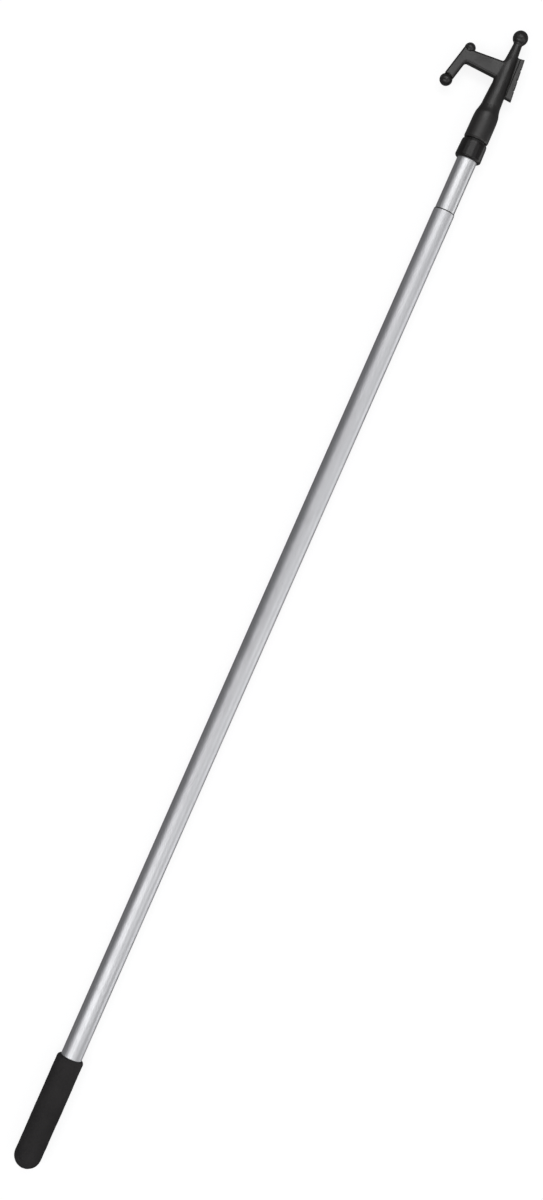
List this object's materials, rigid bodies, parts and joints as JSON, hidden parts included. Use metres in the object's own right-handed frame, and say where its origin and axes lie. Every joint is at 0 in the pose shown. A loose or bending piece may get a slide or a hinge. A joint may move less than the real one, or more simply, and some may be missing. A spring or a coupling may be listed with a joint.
{
  "type": "boat hook",
  "caption": "Telescoping boat hook with a closed-end foam grip, two sliding aluminium tubes joined by an internal twist cam lock, and a moulded hook head.",
  "frame": {"origin": "on the pole's axis, at the middle of the bare outer tube", "axes": "+X along the pole towards the hook head, +Y the way the hook's arm points, +Z square to the plane of the hook"},
  "size_m": [1.4202, 0.0854, 0.0322],
  "materials": {
    "anodised_tube": "satin",
    "grip_foam": "matte",
    "head_plastic": "satin",
    "collar_plastic": "satin",
    "grey_plastic": "matte",
    "black_nylon": "satin",
    "nylon": "satin",
    "float_foam": "matte",
    "stainless": "satin"
  },
  "bodies": {
    "outer_section": {"outer_tube": "anodised_tube", "mouth_bush": "black_nylon", "butt_plug": "grey_plastic", "butt_buffer": "float_foam", "grip": "grip_foam"},
    "guide": {"guide_ring": "nylon"},
    "inner_section": {"inner_tube": "anodised_tube", "upper_float": "float_foam", "lower_float": "float_foam", "cam_plug": "grey_plastic", "cam_plug_pin": "stainless", "cam_washer": "stainless", "cam_screw": "stainless", "head_adapter": "black_nylon", "adapter_rivets": "stainless", "head_collar": "collar_plastic", "hook_head": "head_plastic", "head_screw": "stainless"},
    "cam": {"cam_ring": "nylon"}
  },
  "joints": [
    {"name": "pole_slide", "type": "slide", "parent": "outer_section", "child": "guide", "axis": [1, 0, 0], "range_m": [0, 1.0182]},
    {"name": "pole_twist", "type": "hinge", "parent": "guide", "child": "inner_section", "pos_m": [0, 0, 0], "axis": [1, 0, 0], "range_deg": [-34, 34]},
    {"name": "cam_turn", "type": "hinge", "parent": "inner_section", "child": "cam", "pos_m": [0, 0.0012, 0], "axis": [1, 0, 0], "range_deg": [-34, 34]}
  ],
  "couplings": [
    {"joint": "cam_turn", "follows": "pole_twist", "ratio": -1}
  ]
}
